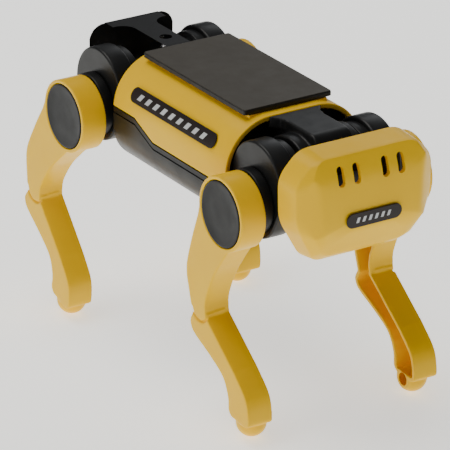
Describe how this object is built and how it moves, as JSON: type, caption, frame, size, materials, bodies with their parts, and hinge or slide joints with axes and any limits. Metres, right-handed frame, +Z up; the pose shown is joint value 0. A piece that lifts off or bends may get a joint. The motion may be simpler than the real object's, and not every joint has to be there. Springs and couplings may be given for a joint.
{
  "type": "quadruped robot dog",
  "caption": "Toy quadruped robot dog: solar panel on a rounded body, broad head, bent one-piece legs turned by a geared motor.",
  "frame": {"origin": "centre of the bounding box's footprint, on the floor plane the lowest foot touches", "axes": "+X towards the head, +Y to the dog's left, +Z up"},
  "size_m": [0.1774, 0.084, 0.1146],
  "materials": {
    "yellow_plastic": "smooth moulded, satin gloss",
    "black_plastic": "smooth moulded, satin",
    "panel_face": "dark coated cell face",
    "badge_film": "printed film",
    "steel": "bright",
    "brass": "machined",
    "gear_plastic": "natural nylon",
    "wire_red": "insulated wire",
    "wire_black": "insulated wire"
  },
  "bodies": {
    "body": {"axle_bush_front_left": "brass", "axle_bush_front_right": "brass", "axle_bush_rear_left": "brass", "axle_bush_rear_right": "brass", "belly_screw_front": "steel", "belly_screw_rear": "steel", "drive_pin": "steel", "front_bracket": "black_plastic", "front_idler_pin": "steel", "gear_frame_left": "black_plastic", "gear_frame_right": "black_plastic", "head_badge": "badge_film", "head_carrier": "black_plastic", "head_shell": "yellow_plastic", "hip_bearing_front_left": "black_plastic", "hip_bearing_front_right": "black_plastic", "hip_bearing_rear_left": "black_plastic", "hip_bearing_rear_right": "black_plastic", "hip_housing_front_left": "black_plastic", "hip_housing_front_right": "black_plastic", "hip_housing_rear_left": "black_plastic", "hip_housing_rear_right": "black_plastic", "lower_shell": "black_plastic", "motor_can": "steel", "motor_end_cap": "gear_plastic", "motor_mount": "black_plastic", "panel_wire_black": "wire_black", "panel_wire_red": "wire_red", "rear_bracket": "black_plastic", "rear_idler_pin": "steel", "reduction_arbor": "steel", "side_badge_left": "badge_film", "side_badge_right": "badge_film", "solar_panel": "panel_face", "tail_screw": "steel", "upper_shell": "yellow_plastic"},
    "front_axle": {"front_axle": "steel", "front_axle_gear": "gear_plastic", "leg_front_right": "yellow_plastic", "leg_front_left": "yellow_plastic", "hip_cap_front_right": "black_plastic", "hip_cap_front_left": "black_plastic", "leg_screw_front_right": "steel", "leg_screw_front_left": "steel"},
    "rear_axle": {"rear_axle": "steel", "rear_axle_gear": "gear_plastic", "leg_rear_right": "yellow_plastic", "leg_rear_left": "yellow_plastic", "hip_cap_rear_right": "black_plastic", "hip_cap_rear_left": "black_plastic", "leg_screw_rear_right": "steel", "leg_screw_rear_left": "steel"},
    "front_idler": {"front_idler_gear": "gear_plastic"},
    "rear_idler": {"rear_idler_gear": "gear_plastic"},
    "drive": {"drive_gear": "gear_plastic"},
    "reduction": {"reduction_gear": "gear_plastic"},
    "rotor": {"motor_pinion": "brass", "motor_shaft": "steel"}
  },
  "joints": [
    {"name": "front_legs_turn", "type": "hinge", "parent": "body", "child": "front_axle", "pos_m": [0.0518, 0, 0.0858], "axis": [0, 1, 0], "continuous": true},
    {"name": "rear_legs_turn", "type": "hinge", "parent": "body", "child": "rear_axle", "pos_m": [-0.0582, 0, 0.0858], "axis": [0, 1, 0], "continuous": true},
    {"name": "front_idler_turn", "type": "hinge", "parent": "body", "child": "front_idler", "pos_m": [0.02679, 0, 0.0908], "axis": [0, 1, 0], "continuous": true},
    {"name": "rear_idler_turn", "type": "hinge", "parent": "body", "child": "rear_idler", "pos_m": [-0.0332, 0, 0.0908], "axis": [0, 1, 0], "continuous": true},
    {"name": "drive_gear_turn", "type": "hinge", "parent": "body", "child": "drive", "pos_m": [-0.0032, 0, 0.0908], "axis": [0, 1, 0], "continuous": true},
    {"name": "reduction_turn", "type": "hinge", "parent": "body", "child": "reduction", "pos_m": [-0.02169, 0, 0.0888], "axis": [0, 1, 0], "continuous": true},
    {"name": "motor_turn", "type": "hinge", "parent": "body", "child": "rotor", "pos_m": [-0.00879, 0, 0.0888], "axis": [0, 1, 0], "continuous": true}
  ],
  "couplings": [
    {"joint": "rear_legs_turn", "follows": "front_legs_turn", "ratio": 1},
    {"joint": "front_idler_turn", "follows": "front_legs_turn", "ratio": -0.7},
    {"joint": "rear_idler_turn", "follows": "front_legs_turn", "ratio": -0.7},
    {"joint": "drive_gear_turn", "follows": "front_legs_turn", "ratio": 0.7},
    {"joint": "reduction_turn", "follows": "front_legs_turn", "ratio": -2.9167},
    {"joint": "motor_turn", "follows": "front_legs_turn", "ratio": 11.019}
  ]
}
